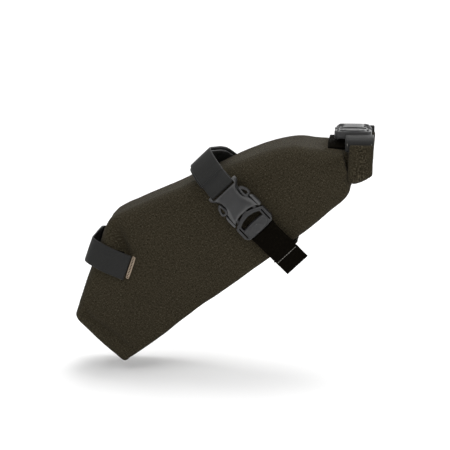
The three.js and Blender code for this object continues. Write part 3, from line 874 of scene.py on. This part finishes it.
def make_side_details(find):
    hook = side_patch("band_hook_pile", HOOK_PATCH, -1, find, 0.8, BLACK)
    place(hook, "bag", "black_webbing", "band_hook_patch")
    # a ladder of satin stitches that locks the band's hook patch
    slope = (LADDER_END - LADDER_START).normalized()
    lines = []
    for n in range(LADDER_RUNGS):
        middle = LADDER_START.lerp(LADDER_END, n / (LADDER_RUNGS - 1))
        slant = slope * 0.3 * (-1) ** n
        pair = [find(*(middle + sign * (LADDER_HALF + slant)), -1) for sign in (-1, 1)]
        lines.append([spot + normal * 0.35 for spot, normal in pair])
    for sign in (-1, 1):
        rail = [LADDER_START.lerp(LADDER_END, t / 8) + LADDER_HALF * sign for t in range(9)]
        lines.append([find(*spot, -1)[0] + Vector((0, -0.25, 0)) for spot in rail])
    bartack = stitches("band_bartack_stitching", lines, POUCH, THREAD, length=40, gap=0.01, radius=0.42)
    place(bartack, "bag", "thread", "band_bartack")
    patch = tape("far_anchor_patch", [(53.2, -47), (53.5, -57), (53.2, -68)], ANCHOR_WIDTH, ANCHOR_THICK,
                 FABRIC, STRAP)
    place(patch, "bag", "coated_fabric", "strap_anchor_far")
    seam = stitches("far_anchor_stitching", box_stitch(-11.5, 11.5, -65, -50, 54.25), STRAP, THREAD_GREY,
                    *ANCHOR_STITCH, Vector((0, 1, 0)))
    place(seam, "bag", "thread")
    patch = tape("base_anchor_patch", [(-44.8, -112.6), (-24, -112.6)], ANCHOR_WIDTH, ANCHOR_THICK,
                 FABRIC, STRAP)
    place(patch, "bag", "coated_fabric", "strap_anchor_base")
    flat = STRAP @ Matrix.Translation((0, 0, -113.4)) @ Matrix.Rotation(math.pi / 2, 4, "X")
    seam = stitches("base_anchor_stitching", box_stitch(-11.5, 11.5, 27, 42, 0), flat, THREAD_GREY,
                    *ANCHOR_STITCH)
    place(seam, "bag", "thread")


GRIP_X, GRIP_Y, GRIP_CORNER = 21.5, 15.0, 5.0   # half-lengths, and how far the corners are rounded
GRIP_STEPS_X, GRIP_STEPS_Y = 129, 60
GRIP_MIDDLE_X = -30.5
GRIP_STAND, GRIP_EDGE, GRIP_SINK = 0.7, 0.5, 0.3
RIB_HEIGHT, RIB_PITCH = 0.28, 3.4


def make_grip_patch(pouch):
    """A ribbed rubber patch that lies on the seatpost panel, drawn to the fabric's own shape."""
    tree = fabric_tree(pouch, FRONT)
    verts = []
    for top in (True, False):
        for i in range(GRIP_STEPS_X + 1):
            for k in range(GRIP_STEPS_Y + 1):
                a, b = 2 * i / GRIP_STEPS_X - 1, 2 * k / GRIP_STEPS_Y - 1
                # squeezing the corners of the square grid rounds the patch's outline
                pull = 1 - 0.29 * GRIP_CORNER / GRIP_Y * (max(0, abs(a) + abs(b) - 1)) ** 3
                x, y = GRIP_X * a * pull, GRIP_Y * b * pull
                spot = tree.ray_cast(Vector((x + GRIP_MIDDLE_X, y, 40)), Vector((0, 0, -1)))[0]
                rim = min(1.0, (1 - max(abs(a), abs(b))) * 9)
                wave = (0.5 + 0.5 * math.cos(x * math.tau / RIB_PITCH)) ** 1.5
                rib = RIB_HEIGHT * wave if rim == 1.0 else 0
                height = GRIP_STAND + GRIP_EDGE * (1 - (1 - rim) ** 2) ** 0.5 + rib if top else -GRIP_SINK
                verts.append((spot.x, spot.y, spot.z + height))
    patch = closed_object("seatpost_grip", verts, slab_faces(GRIP_STEPS_X, GRIP_STEPS_Y), RUBBER, FRONT)
    place(patch, "bag", "grip_rubber", "seatpost_patch")


def add_bevel(obj, width):
    bevel = obj.modifiers.new("edges", "BEVEL")
    bevel.width = width * MM
    bevel.segments = 2
    bevel.limit_method = "ANGLE"
    return bevel


def dress_cad_nodes():
    for node in ("nose_stiffener", "base_stiffener", "mouth_stiffener"):
        obj = bpy.data.objects[node]
        obj.data.materials.clear()
        obj.data.materials.append(STIFF)
        add_bevel(obj, 0.25)


# ---------------------------------------------------------------- buckles


def inset(outline, amount):
    """An outline that turns left, drawn in by an amount along its corner bisectors."""
    result = []
    for before, corner, after in zip(outline[-1:] + outline[:-1], outline, outline[1:] + outline[:1]):
        a, b = (corner - before).normalized(), (after - corner).normalized()
        bisector = Vector((-a.y - b.y, a.x + b.x)).normalized()
        lean = max(bisector.dot(Vector((-a.y, a.x))), 0.5)
        result.append(corner + bisector * (amount / lean))
    return result


def rounded_prism(name, outline, low, high, edge, matrix):
    """An extruded outline with rounded rims. The outline turns left."""
    turns = [math.pi / 2 * step / 3 for step in range(4)]
    rings = [(edge * (1 - math.sin(turn)), low + edge * (1 - math.cos(turn))) for turn in turns]
    rings += [(amount, high - (z - low)) for amount, z in reversed(rings)]
    verts = [(p.x, p.y, z) for amount, z in rings for p in inset(outline, amount)]
    return new_object(name, verts, tube_faces(len(rings), len(outline)), PLASTIC, matrix)


def block_cutter(x0, x1, y0, y1, z0, z1, matrix):
    return prism_cutter([(x0, y0), (x1, y0), (x1, y1), (x0, y1)], z0, z1, matrix)


def prism_cutter(outline, low, high, matrix):
    verts = [(x, y, z) for z in (low, high) for x, y in outline]
    return new_object("cutter", verts, tube_faces(2, len(outline)), PLASTIC, matrix, smooth=False)


def carve(obj, cutters):
    """Cuts other objects out of one, and deletes them."""
    for cutter in cutters:
        modifier = obj.modifiers.new("carve", "BOOLEAN")
        modifier.operation = "DIFFERENCE"
        modifier.solver = "EXACT"
        modifier.object = cutter
    bpy.context.view_layer.update()
    carved = bpy.data.meshes.new_from_object(obj.evaluated_get(bpy.context.evaluated_depsgraph_get()))
    obj.modifiers.clear()
    obj.data = carved
    for cutter in cutters:
        bpy.data.objects.remove(cutter)


SHARP_ANGLE = math.radians(38)


def finish_plastic(obj, width=0.22):
    """Fine broken edges and smooth faces, as a moulding has."""
    obj.data.polygons.foreach_set("use_smooth", [True] * len(obj.data.polygons))
    obj.data.set_sharp_from_angle(angle=SHARP_ANGLE)
    bevel = add_bevel(obj, width)
    bevel.angle_limit = SHARP_ANGLE
    bevel.use_clamp_overlap = True
    bevel.harden_normals = True


# The socket from its strap bar to its mouth: distance along, half-width, height, raised face's half-width.
SOCKET_STATIONS = [
    (0, 15.5, 6.8, 13.2), (-0.5, 15.8, 7.4, 13.2), (-3.2, 15.9, 8.0, 13.0), (-5.0, 14.6, 8.4, 12.0),
    (-6.6, 12.9, 8.7, 10.0), (-8.4, 11.6, 8.9, 8.6), (-11, 10.8, 9.0, 7.6), (-14, 10.5, 9.0, 7.2),
    (-16.8, 10.9, 9.0, 7.0), (-19.2, 12.3, 9.0, 7.2), (-21.2, 14.4, 9.0, 7.6), (-23.0, 15.9, 9.0, 8.2),
    (-25.0, 16.5, 8.9, 8.9), (-27.6, 16.7, 8.7, 9.8), (-30.6, 16.7, 8.5, 10.8), (-34, 16.4, 8.2, 12.0),
]


def socket_section(half, height, raised):
    """One side of the socket's section, from the middle of its back to the middle of its face."""
    return [(0, 0.3), (half * 0.5, 0.25), (half - 1.3, 0.25), (half - 0.4, 0.6), (half, 1.4), (half, 4.6),
            (half - 0.15, 5.4), (half - 0.7, 6.0), (raised + 0.9, height - 0.75),
            (raised + 0.35, height - 0.2), (raised - 0.5, height), (raised * 0.5, height + 0.06),
            (0, height + 0.1)]


def buckle_socket(name, matrix):
    verts = []
    for y, half, height, raised in SOCKET_STATIONS:
        right = socket_section(half, height, raised)
        ring = right + [(-x, z) for x, z in right[-2:0:-1]]
        verts += [(x, y, z) for x, z in ring]
    socket = closed_object(name, verts, tube_faces(len(SOCKET_STATIONS), len(ring)), PLASTIC, matrix)
    # the mouth is scooped in an arc on both faces
    half, mouth = 14.2, -34.6
    bows = [math.cos(math.pi * k / 16) for k in range(17)]
    arc = [(half * x, mouth + 5.6 * (1 - x ** 2) ** 0.5) for x in bows] + [(-half, -36), (half, -36)]
    carve(socket, [
        block_cutter(-half, half, -52, -8.6, 2.0, 7.0, matrix),
        block_cutter(-12.9, 12.9, -4.5, -1.2, -1, 11, matrix),
        block_cutter(-12.9, 12.9, -1.5, 1, 6.3, 11, matrix),
        block_cutter(-12.9, 12.9, -1.5, 1, -1, 3.2, matrix),
        prism_cutter(arc, 4, 11, matrix),
        prism_cutter(arc, -1, 4.2, matrix),
    ])
    finish_plastic(socket)
    return socket


def buckle_plug(name, matrix):
    outline = round_corners([
        (-13.4, -34.9), (-16.1, -36.4), (-16.4, -47.6), (-13.8, -51.2), (-7.5, -52), (7.5, -52),
        (13.8, -51.2), (16.4, -47.6), (16.1, -36.4), (13.4, -34.9), (8.8, -32.4), (5, -31.0), (2.6, -30.6),
        (2.6, -17.2), (0, -15.2), (-2.6, -17.2), (-2.6, -30.6), (-5, -31.0), (-8.8, -32.4)], 1.0, 3)
    plug = rounded_prism(name, outline, 0.7, 8.0, 0.9, matrix)
    window = round_corners([(-11.4, -37.6), (-11.2, -42.0), (-5.6, -42.6), (0, -42.8), (5.6, -42.6),
                            (11.2, -42.0), (11.4, -37.6), (6.4, -35.4), (0, -34.3), (-6.4, -35.4)], 1.2, 3)
    carve(plug, [
        prism_cutter(window, -1, 11, matrix),
        block_cutter(12.7, 13.9, -49.2, -37.6, -1, 11, matrix),
        block_cutter(-13.9, -12.7, -49.2, -37.6, -1, 11, matrix),
        block_cutter(-4, 4, -30.4, -14, -1, 2.6, matrix),
        block_cutter(-4, 4, -30.4, -14, 6.4, 11, matrix),
        block_cutter(-12.7, 12.7, -49.6, -46.6, -1, 3.6, matrix),
        block_cutter(-12.7, 12.7, -53, -49.4, -1, 2.6, matrix),
    ])
    finish_plastic(plug)
    return plug


BLOCK_TOP, BLOCK_BOTTOM = -40.6, -52.3
BLOCK_BASE, BLOCK_FACE, BLOCK_DOME = 5.4, 6.9, 2.5
BLOCK_STEPS, BLOCK_ACROSS = 22, 34


def block_half_width(t):
    """Half-width from the window (t = 0) to the rounded free end (t = 1)."""
    return 12.6 - 4.6 * max(0.0, (t - 0.45) / 0.55) ** 2.2


def quarter_round(t):
    return (1 - (1 - t) ** 2) ** 0.5


def buckle_end_block(name, matrix):
    """The plug's thumb block: a domed pad with a fine curved line moulded on it."""
    verts = []
    for i in range(BLOCK_STEPS + 1):
        t = i / BLOCK_STEPS
        for k in range(BLOCK_ACROSS + 1):
            side = 2 * k / BLOCK_ACROSS - 1
            x = block_half_width(t) * side
            bow = side * side * (1.2 * t - 1.1 * (1 - t))
            y = BLOCK_TOP + (BLOCK_BOTTOM - BLOCK_TOP) * t + bow
            rim, end = min(1.0, (1 - abs(side)) * 5.5), min(1.0, min(t, 1 - t) * 6.5)
            z = BLOCK_FACE + BLOCK_DOME * quarter_round(rim) * quarter_round(end) - 0.35 * side * side
            if y > -50.4 and x < 5.5:
                z += 0.34 * bell(math.hypot((x + 1.0) / 1.15, y + 49.2), 5.2, 0.5)
            verts.append((x, y, z))
    row = BLOCK_ACROSS + 1
    faces = [(i * row + k, i * row + k + 1, (i + 1) * row + k + 1, (i + 1) * row + k)
             for i in range(BLOCK_STEPS) for k in range(BLOCK_ACROSS)]
    rim = grid_rim(BLOCK_STEPS, BLOCK_ACROSS)
    base, count = len(verts), len(rim)
    verts += [(verts[k][0], verts[k][1], BLOCK_BASE) for k in rim]
    faces += [(rim[k], base + k, base + (k + 1) % count, rim[(k + 1) % count]) for k in range(count)]
    faces.append(tuple(base + k for k in range(count)))
    block = closed_object(name, verts, faces, PLASTIC, matrix)
    finish_plastic(block, 0.15)
    return block


PRONG_OUTLINE = [(8.4, -34.8), (11.2, -34.8), (11.9, -27), (12.8, -20.6), (15.9, -20.8), (17.1, -18.6),
                 (16.6, -15.4), (14.9, -11.6), (12.4, -9.6), (10.9, -10.2), (10.6, -14), (9.8, -18), (9, -24)]
PRONG_EYE = [(12.3, -18.9), (14.9, -18.9), (15.3, -17.0), (13.9, -13.8), (12.4, -12.2), (12.0, -16)]


def buckle_prong(name, side, matrix):
    """One prong: side is 1 or -1, and a mirrored outline is reversed so that it still turns left."""
    outline, eye = ([(side * x, y) for x, y in shape][::side] for shape in (PRONG_OUTLINE, PRONG_EYE))
    prong = rounded_prism(name, round_corners(outline, 1.6, 4), 2.3, 6.7, 0.6, matrix)
    carve(prong, [prism_cutter(round_corners(eye, 0.7, 3), -1, 11, matrix)])
    finish_plastic(prong, 0.15)
    return prong


def make_buckle(prefix, matrix, fixed, moving, front, rear):
    """A whole side-release buckle: its socket rides one body, its plug another and each prong its own."""
    place(buckle_socket(prefix + "_socket_moulding", matrix), fixed, "moulded_plastic", prefix + "_socket")
    place(buckle_plug(prefix + "_plug_moulding", matrix), moving, "moulded_plastic", prefix + "_plug")
    place(buckle_end_block(prefix + "_plug_block", matrix), moving, "moulded_plastic")
    place(buckle_prong(front + "_moulding", -1, matrix), front, "moulded_plastic", front)
    place(buckle_prong(rear + "_moulding", 1, matrix), rear, "moulded_plastic", rear)

# ---------------------------------------------------------------- roll-top


ROLL_POINTS = 56
ROLL_GIRTH = 62.0
# How an arm's end rounds off: distance back from its tip, and the share of the full thickness there.
ROLL_CAP = 2.1
ROLL_CAPS = [(0.0, 0.55), (0.35, 0.78), (1.0, 0.92), (ROLL_CAP, 1.0)]
CORNER_LIFT = 7.5


def roll_spine():
    """The rolled mouth's middle line, as (y, z): up the near arm, across below and up the far arm."""
    reach = ROLL_THICK / 2
    y = ROLL_HALF - reach
    low = ROLL_BOTTOM + reach
    top = ROLL_TOP - 0.4
    corners = [(-y + 0.8, top), (-y, low + 8), (-y, low), (y, low), (y, low + 8), (y - 0.8, top)]
    return resample(soften(corners, 9, 10), 1.5)


def roll_section(along):
    """The roll's section as (x, out): a flattened coil whose last layer ends in a low step."""
    half_x, half = (ROLL_REAR - ROLL_FRONT) / 2, ROLL_THICK / 2
    section = []
    for k in range(ROLL_POINTS):
        turn = math.tau * k / ROLL_POINTS
        c, s = math.cos(turn), math.sin(turn)
        x = half_x * math.copysign(abs(c) ** 0.42, c)
        out = half * math.copysign(abs(s) ** 0.5, s)
        # the free edge of the last layer lies on the outer face near the rear
        step = smoothstep(math.degrees(turn), 52, 58)
        shrink = 1 - 0.10 * step * (1 - turn / math.tau)
        layer = 0.35 * noise.noise(Vector((c * 1.3, s * 1.3, along * 0.03)))
        layer += 0.22 * noise.noise(Vector((c * 2.6, s * 2.6, along * 0.11 + 9)))
        section.append((x * (1 - 0.25 * (1 - shrink)) + layer, out * shrink + layer))
    return section


def roll_point(spot, x, scale):
    """Carries a point of the section to the row frame, with a lifted rear corner and a leaning near arm."""
    depth = smoothstep(-spot.y, 4, -ROLL_BOTTOM) ** 1.6
    taper = 1 - 0.14 * depth * smoothstep(x, -4, 10)
    lift = CORNER_LIFT * depth * smoothstep(x, -12, 14) ** 1.5
    lean = 0.8 * smoothstep(spot.y, 0, ROLL_TOP) - 2.4 * smoothstep(-spot.x, 38, 45) * smoothstep(-x, -2, 8)
    middle = (ROLL_FRONT + ROLL_REAR) / 2
    return (middle + lean + x * taper * (0.7 + 0.3 * scale), spot.x, spot.y + lift)


def make_roll():
    spine = roll_spine()
    lengths = running_lengths(spine)
    start, finish = (spine[0] - spine[1]).normalized(), (spine[-1] - spine[-2]).normalized()
    # each station: its middle, its heading, its share of the full thickness, and the distance along
    stations = [(spine[0] + start * (ROLL_CAP - back) * 0.9, -start, scale, -back)
                for back, scale in ROLL_CAPS]
    stations += [(spine[i], (spine[i + 1] - spine[i - 1]).normalized(), 1.0, lengths[i])
                 for i in range(1, len(spine) - 1)]
    stations += [(spine[-1] + finish * (ROLL_CAP - back) * 0.9, finish, scale, lengths[-1] + back)
                 for back, scale in reversed(ROLL_CAPS)]
    verts = []
    for middle, ahead, scale, along in stations:
        out = Vector((ahead.y, -ahead.x))
        verts += [roll_point(middle + out * height * scale, x, scale) for x, height in roll_section(along)]
    around = ROLL_GIRTH / ROLL_POINTS
    faces = tube_faces(len(stations), ROLL_POINTS)
    uvs = tube_uvs(len(stations), ROLL_POINTS, lambda i, k: (stations[i][3], k * around),
                   lambda k: (verts[k][0], verts[k][1]))
    roll = closed_object("fabric_roll", verts, faces, FABRIC, ROW, uvs)
    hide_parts("roll_middle", "roll_arm_near", "roll_arm_far")
    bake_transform(roll)


# The collar's rings: x, half-width, low, high, corner.
COLLAR_RINGS = [
    (121, 40.5, -21.0, 11.5, 9), (126, 40.2, -19.6, 10.8, 9), (130.5, 39.4, -18.6, 9.8, 8),
    (133.6, 36.5, -16.5, 7.6, 7), (136.2, 35.5, -12.5, 5.2, 5),
]
COLLAR_POINTS = 96
COLLAR_STEP = 1.5


def make_collar():
    """The short throat of fabric from the pouch's rear edge into the roll, narrowing and gathered."""
    verts = []
    for x, half, low, high, corner in COLLAR_RINGS:
        outline = round_corners([(-half, low), (half, low), (half, high), (-half, high)], corner, 8)
        ring = resample(outline + [outline[0]], 0.2)
        for k in range(COLLAR_POINTS):
            p = ring[int(k * (len(ring) / COLLAR_POINTS))]
            crimp = 0.8 * noise.noise(Vector((p.x * 0.22, p.y * 0.22, x * 0.02)))
            verts.append((x, p.x * (1 + crimp * 0.02), p.y + crimp * 0.6))
    faces = tube_faces(len(COLLAR_RINGS), COLLAR_POINTS)
    uvs = tube_uvs(len(COLLAR_RINGS), COLLAR_POINTS, lambda i, k: (COLLAR_STEP * k, COLLAR_RINGS[i][0]),
                   lambda k: (verts[k][1], verts[k][2]))
    collar = closed_object("fabric_collar", verts, faces, FABRIC, ROW, uvs)
    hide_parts("mouth_collar")
    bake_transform(collar)


def make_tabs():
    across = Matrix.Translation((TAB_X, 0, 0))
    level = ROLL_BUCKLE_AT[2] + 4.5
    for side, body, node in ((-1, "roll_plug", "roll_tab_near"), (1, "roll_top", "roll_tab_far")):
        path = soften([(side * 40.6, ROLL_TOP - 4.5), (side * 42.6, ROLL_TOP + 1.0), (side * 41.4, 20.4),
                       (side * 36.4, level), (side * 26.4, level + 0.2)], 5)
        if side > 0:
            path = path[::-1]
        tab = tape(node + "_webbing", path, WEBBING, WEBBING_THICK, GREY, across, spacing=0.9)
        place(tab, body, "grey_webbing", node)
        lines = [[(x, side * 43.75, ROLL_TOP + 0.4), (x, side * 43.0, ROLL_TOP + 3.4)] for x in (-10.6, 10.6)]
        seam = stitches(node + "_stitching", lines, across, THREAD_GREY, 1.6, 0.5, 0.22,
                        Vector((0, side, 0)))
        place(seam, body, "thread")
    pad = tape("closure_pad_webbing", soften([(-30, 12.5), (-22, 16.6), (22, 16.6), (30, 12.5)], 8),
               19, WEBBING_THICK, BLACK, Matrix.Translation((122.5, 0, 0)), spacing=1.2)
    place(pad, "roll_top", "black_webbing", "closure_pad")


# ---------------------------------------------------------------- assembly

pouch = make_pouch()
make_side_details(surface_finder(pouch))
make_grip_patch(pouch)
dress_cad_nodes()
make_main_strap()
make_nose_band()
make_buckle("main_buckle", MAIN_BUCKLE, "bag", "main_plug", "main_prong_front", "main_prong_rear")
make_buckle("roll_buckle", ROLL_BUCKLE, "roll_top", "roll_plug", "roll_prong_front", "roll_prong_rear")
make_roll()
make_collar()
make_tabs()
